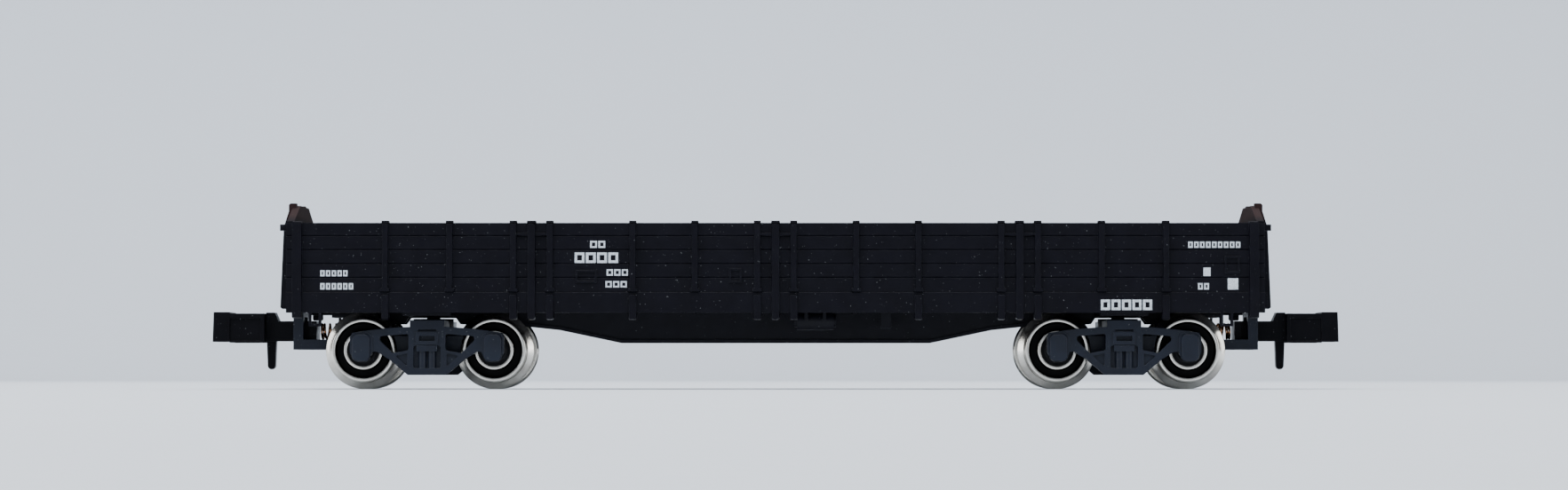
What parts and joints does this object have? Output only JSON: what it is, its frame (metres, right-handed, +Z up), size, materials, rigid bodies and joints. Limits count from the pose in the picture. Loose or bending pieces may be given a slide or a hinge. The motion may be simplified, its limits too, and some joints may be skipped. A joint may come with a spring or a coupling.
{
  "type": "model railway open wagon",
  "caption": "Scale model of a bogie open wagon with plank drop sides, gable ends, swivelling bogies, rolling wheelsets and sprung box-hook couplers.",
  "frame": {"origin": "under the middle of the wagon, level with the lowest points of the wheel flanges", "axes": "+X along the wagon towards the front coupler, +Y across it to the left, +Z up"},
  "size_m": [0.1002, 0.0182, 0.0165],
  "materials": {
    "body_plastic": "satin moulded black",
    "bogie_plastic": "satin moulded blue-black",
    "coupler_plastic": "satin black acetal",
    "bush_plastic": "satin black",
    "wheel_nickel": "bright nickel plate, turned",
    "axle_steel": "turned steel",
    "ballast_steel": "rolled steel plate",
    "spring_copper": "drawn phosphor bronze wire"
  },
  "bodies": {
    "body": {"body_shell": "body_plastic", "ballast_weight": "ballast_steel", "underframe": "body_plastic", "bogie_pin_front": "bogie_plastic", "bogie_pin_rear": "bogie_plastic"},
    "bogie_front": {"bogie_frame_front": "bogie_plastic"},
    "bogie_rear": {"bogie_frame_rear": "bogie_plastic"},
    "wheelset_1": {"axle_1": "axle_steel", "wheel_1_left": "wheel_nickel", "wheel_1_right": "wheel_nickel", "wheel_bush_1_left": "bush_plastic", "wheel_bush_1_right": "bush_plastic"},
    "wheelset_2": {"axle_2": "axle_steel", "wheel_2_left": "wheel_nickel", "wheel_2_right": "wheel_nickel", "wheel_bush_2_left": "bush_plastic", "wheel_bush_2_right": "bush_plastic"},
    "wheelset_3": {"axle_3": "axle_steel", "wheel_3_left": "wheel_nickel", "wheel_3_right": "wheel_nickel", "wheel_bush_3_left": "bush_plastic", "wheel_bush_3_right": "bush_plastic"},
    "wheelset_4": {"axle_4": "axle_steel", "wheel_4_left": "wheel_nickel", "wheel_4_right": "wheel_nickel", "wheel_bush_4_left": "bush_plastic", "wheel_bush_4_right": "bush_plastic"},
    "coupler_front_carrier": {"coupler_spring_front": "spring_copper"},
    "coupler_front": {"coupler_front": "coupler_plastic"},
    "coupler_rear_carrier": {"coupler_spring_rear": "spring_copper"},
    "coupler_rear": {"coupler_rear": "coupler_plastic"}
  },
  "joints": [
    {"name": "bogie_front_swivel", "type": "hinge", "parent": "body", "child": "bogie_front", "pos_m": [0.03056, 0, 0.0043], "axis": [0, 0, 1], "range_deg": [-12, 12]},
    {"name": "bogie_rear_swivel", "type": "hinge", "parent": "body", "child": "bogie_rear", "pos_m": [-0.03056, 0, 0.0043], "axis": [0, 0, 1], "range_deg": [-12, 12]},
    {"name": "wheelset_1_roll", "type": "hinge", "parent": "bogie_front", "child": "wheelset_1", "pos_m": [0.03632, 0, 0.00344], "axis": [0, 1, 0], "continuous": true},
    {"name": "wheelset_2_roll", "type": "hinge", "parent": "bogie_front", "child": "wheelset_2", "pos_m": [0.0248, 0, 0.00344], "axis": [0, 1, 0], "continuous": true},
    {"name": "wheelset_3_roll", "type": "hinge", "parent": "bogie_rear", "child": "wheelset_3", "pos_m": [-0.0248, 0, 0.00344], "axis": [0, 1, 0], "continuous": true},
    {"name": "wheelset_4_roll", "type": "hinge", "parent": "bogie_rear", "child": "wheelset_4", "pos_m": [-0.03632, 0, 0.00344], "axis": [0, 1, 0], "continuous": true},
    {"name": "coupler_front_swing", "type": "hinge", "parent": "bogie_front", "child": "coupler_front_carrier", "pos_m": [0.04115, 0, 0.00515], "axis": [0, 0, 1], "range_deg": [-12, 12], "stiffness_Nm_per_rad": 0.004},
    {"name": "coupler_front_lift", "type": "hinge", "parent": "coupler_front_carrier", "child": "coupler_front", "pos_m": [0.04115, 0, 0.00515], "axis": [0, -1, 0], "range_deg": [-4, 6], "stiffness_Nm_per_rad": 0.004},
    {"name": "coupler_rear_swing", "type": "hinge", "parent": "bogie_rear", "child": "coupler_rear_carrier", "pos_m": [-0.04115, 0, 0.00515], "axis": [0, 0, 1], "range_deg": [-12, 12], "stiffness_Nm_per_rad": 0.004},
    {"name": "coupler_rear_lift", "type": "hinge", "parent": "coupler_rear_carrier", "child": "coupler_rear", "pos_m": [-0.04115, 0, 0.00515], "axis": [0, 1, 0], "range_deg": [-4, 6], "stiffness_Nm_per_rad": 0.004}
  ]
}
